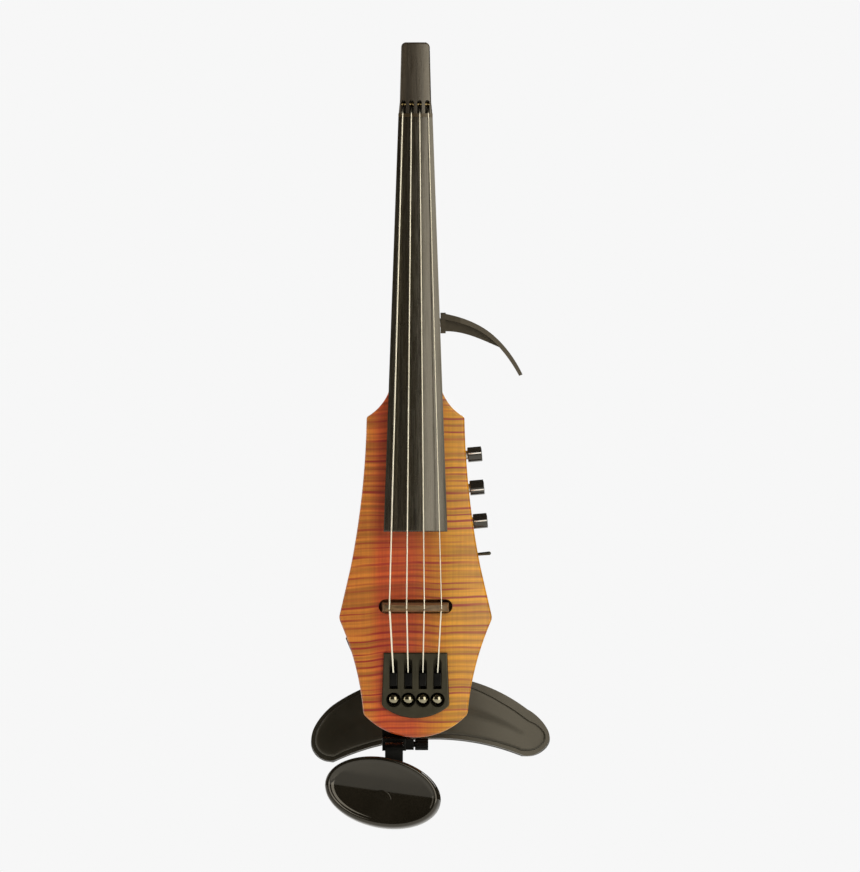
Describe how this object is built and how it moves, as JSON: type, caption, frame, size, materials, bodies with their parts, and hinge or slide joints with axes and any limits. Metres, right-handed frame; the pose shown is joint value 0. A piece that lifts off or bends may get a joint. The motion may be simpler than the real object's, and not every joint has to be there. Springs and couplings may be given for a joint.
{
  "type": "headless electric violin",
  "caption": "Headless four-string electric violin with a narrow figured maple body, tail tuners, side controls, a chin rest, a shoulder rest and a curved upper-bout arm.",
  "frame": {"origin": "the back of the neck where a hanger's yoke holds it, 70 mm below the head block", "axes": "+Z along the strings toward the head, -Y out of the face, +X toward the treble side"},
  "size_m": [0.1618, 0.1187, 0.5268],
  "materials": {
    "figured_maple": "amber stained flame maple under satin lacquer",
    "stained_maple": "amber stained maple under satin lacquer",
    "neck_maple": "oiled maple",
    "ebony": "polished ebony",
    "walnut": "oiled dark hardwood",
    "bridge_wood": "plain oiled hardwood",
    "black_composite": "satin",
    "string_steel": "fine flat winding",
    "ball_end_brass": "plain",
    "pickup_black": "moulded",
    "block_metal": "satin dark anodised",
    "black_metal": "satin black",
    "ball_chrome": "polished",
    "screw_steel": "blackened",
    "pot_alloy": "plain",
    "circuit_board": "solder resist",
    "battery_jacket": "plain jacket",
    "clip_plastic": "moulded",
    "cover_plastic": "fine moulded texture",
    "lead_insulation": "soft",
    "knob_black": "gloss",
    "chin_gloss": "mirror gloss",
    "rest_shell": "satin moulded",
    "rest_foam": "closed foam with a fabric skin",
    "arm_composite": "satin dark brown"
  },
  "bodies": {
    "root": {"top_plate": "figured_maple", "body_core": "stained_maple", "neck": "neck_maple", "truss_rod": "black_composite", "body_screws": "screw_steel", "fingerboard": "ebony", "nut": "black_composite", "head_block": "walnut", "string_ball_ends": "ball_end_brass", "string_g": "string_steel", "string_d": "string_steel", "string_a": "string_steel", "string_e": "string_steel", "bridge": "bridge_wood", "bridge_pickup": "pickup_black", "tuner_block": "block_metal", "potentiometers": "pot_alloy", "toggle_switch": "pot_alloy", "preamp_board": "circuit_board", "battery": "battery_jacket", "battery_clip": "clip_plastic", "door_hinge_pin": "screw_steel", "rear_cover": "cover_plastic", "output_jack": "screw_steel", "jack_ring": "ball_chrome", "internal_leads": "lead_insulation", "tail_bracket": "block_metal"},
    "tuner_knob_g": {"tuner_knob_g": "ball_chrome"},
    "tuner_carriage_g": {"tuner_carriage_g": "black_metal", "afterlength_g": "string_steel"},
    "tuner_knob_d": {"tuner_knob_d": "ball_chrome"},
    "tuner_carriage_d": {"tuner_carriage_d": "black_metal", "afterlength_d": "string_steel"},
    "tuner_knob_a": {"tuner_knob_a": "ball_chrome"},
    "tuner_carriage_a": {"tuner_carriage_a": "black_metal", "afterlength_a": "string_steel"},
    "tuner_knob_e": {"tuner_knob_e": "ball_chrome"},
    "tuner_carriage_e": {"tuner_carriage_e": "black_metal", "afterlength_e": "string_steel"},
    "volume_knob": {"volume_knob": "knob_black", "volume_shaft": "screw_steel"},
    "bass_knob": {"bass_knob": "knob_black", "bass_shaft": "screw_steel"},
    "treble_knob": {"treble_knob": "knob_black", "treble_shaft": "screw_steel"},
    "toggle_lever": {"toggle_lever": "black_metal"},
    "battery_door": {"battery_door": "cover_plastic"},
    "upper_bout_arm": {"upper_bout_arm": "arm_composite", "arm_dowel": "screw_steel"},
    "chin_stem": {"chin_stem": "black_metal", "chin_pivot_screw": "screw_steel"},
    "chin_rest": {"chin_plate": "chin_gloss", "chin_pivot_cap": "chin_gloss"},
    "chin_screw": {"chin_thumbscrew": "black_metal"},
    "post_screw": {"post_thumbscrew": "black_metal"},
    "rest_post": {"rest_post": "screw_steel"},
    "rest_swivel": {"rest_swivel": "black_metal", "rest_hinge_pin": "screw_steel"},
    "shoulder_rest": {"rest_plate": "rest_shell", "rest_pad": "rest_foam"}
  },
  "joints": [
    {"name": "tuner_knob_g_turn", "type": "hinge", "parent": "root", "child": "tuner_knob_g", "pos_m": [-0.0147, -0.0071, -0.3237], "axis": [0, 0, 1], "range_deg": [-3610, 730]},
    {"name": "tuner_carriage_g_slide", "type": "slide", "parent": "root", "child": "tuner_carriage_g", "axis": [0, 0, 1], "range_m": [-0.0014, 0.007], "deforming": ["afterlength_g"]},
    {"name": "tuner_knob_d_turn", "type": "hinge", "parent": "root", "child": "tuner_knob_d", "pos_m": [-0.0049, -0.0071, -0.3237], "axis": [0, 0, 1], "range_deg": [-3610, 730]},
    {"name": "tuner_carriage_d_slide", "type": "slide", "parent": "root", "child": "tuner_carriage_d", "axis": [0, 0, 1], "range_m": [-0.0014, 0.007], "deforming": ["afterlength_d"]},
    {"name": "tuner_knob_a_turn", "type": "hinge", "parent": "root", "child": "tuner_knob_a", "pos_m": [0.0049, -0.0071, -0.3237], "axis": [0, 0, 1], "range_deg": [-3610, 730]},
    {"name": "tuner_carriage_a_slide", "type": "slide", "parent": "root", "child": "tuner_carriage_a", "axis": [0, 0, 1], "range_m": [-0.0014, 0.007], "deforming": ["afterlength_a"]},
    {"name": "tuner_knob_e_turn", "type": "hinge", "parent": "root", "child": "tuner_knob_e", "pos_m": [0.0147, -0.0071, -0.3237], "axis": [0, 0, 1], "range_deg": [-3610, 730]},
    {"name": "tuner_carriage_e_slide", "type": "slide", "parent": "root", "child": "tuner_carriage_e", "axis": [0, 0, 1], "range_m": [-0.0014, 0.007], "deforming": ["afterlength_e"]},
    {"name": "volume_knob_turn", "type": "hinge", "parent": "root", "child": "volume_knob", "pos_m": [0.03445, 0.0134, -0.1602], "axis": [0.9962, 0, 0.0872], "range_deg": [-150, 150]},
    {"name": "bass_knob_turn", "type": "hinge", "parent": "root", "child": "bass_knob", "pos_m": [0.03595, 0.0134, -0.1825], "axis": [0.9962, 0, 0.0872], "range_deg": [-150, 150]},
    {"name": "treble_knob_turn", "type": "hinge", "parent": "root", "child": "treble_knob", "pos_m": [0.03815, 0.0134, -0.205], "axis": [0.9962, 0, 0.0872], "range_deg": [-150, 150]},
    {"name": "toggle_flip", "type": "hinge", "parent": "root", "child": "toggle_lever", "pos_m": [0.03652, 0.0134, -0.22738], "axis": [0, -1, 0], "range_deg": [-12, 12]},
    {"name": "battery_door_hinge", "type": "hinge", "parent": "root", "child": "battery_door", "pos_m": [-0.017, 0.0247, -0.1822], "axis": [1, 0, 0], "range_deg": [0, 95]},
    {"name": "upper_bout_arm_pull", "type": "slide", "parent": "root", "child": "upper_bout_arm", "axis": [1, 0, 0], "range_m": [0, 0.014]},
    {"name": "chin_rest_height", "type": "slide", "parent": "root", "child": "chin_stem", "axis": [0, -1, 0], "range_m": [-0.006, 0.012]},
    {"name": "chin_rest_swivel", "type": "hinge", "parent": "chin_stem", "child": "chin_rest", "pos_m": [-0.023, -0.0181, -0.391], "axis": [0, -1, 0], "range_deg": [-20, 20]},
    {"name": "chin_thumbscrew_turn", "type": "hinge", "parent": "root", "child": "chin_screw", "pos_m": [0, 0.0099, -0.3545], "axis": [1, 0, 0], "range_deg": [0, 360]},
    {"name": "post_thumbscrew_turn", "type": "hinge", "parent": "root", "child": "post_screw", "pos_m": [0.02, 0.0339, -0.338], "axis": [1, 0, 0], "range_deg": [0, 360]},
    {"name": "shoulder_rest_height", "type": "slide", "parent": "root", "child": "rest_post", "axis": [0, 1, 0], "range_m": [-0.006, 0.006]},
    {"name": "shoulder_rest_swivel", "type": "hinge", "parent": "rest_post", "child": "rest_swivel", "pos_m": [0.006, 0.0499, -0.338], "axis": [0, -1, 0], "range_deg": [-20, 20]},
    {"name": "shoulder_rest_tilt", "type": "hinge", "parent": "rest_swivel", "child": "shoulder_rest", "pos_m": [0.006, 0.0559, -0.338], "axis": [1, 0, 0], "range_deg": [-10, 10]}
  ],
  "couplings": [
    {"joint": "tuner_knob_g_turn", "follows": "tuner_carriage_g_slide", "rad_per_m": -8976},
    {"joint": "tuner_knob_d_turn", "follows": "tuner_carriage_d_slide", "rad_per_m": -8976},
    {"joint": "tuner_knob_a_turn", "follows": "tuner_carriage_a_slide", "rad_per_m": -8976},
    {"joint": "tuner_knob_e_turn", "follows": "tuner_carriage_e_slide", "rad_per_m": -8976}
  ]
}
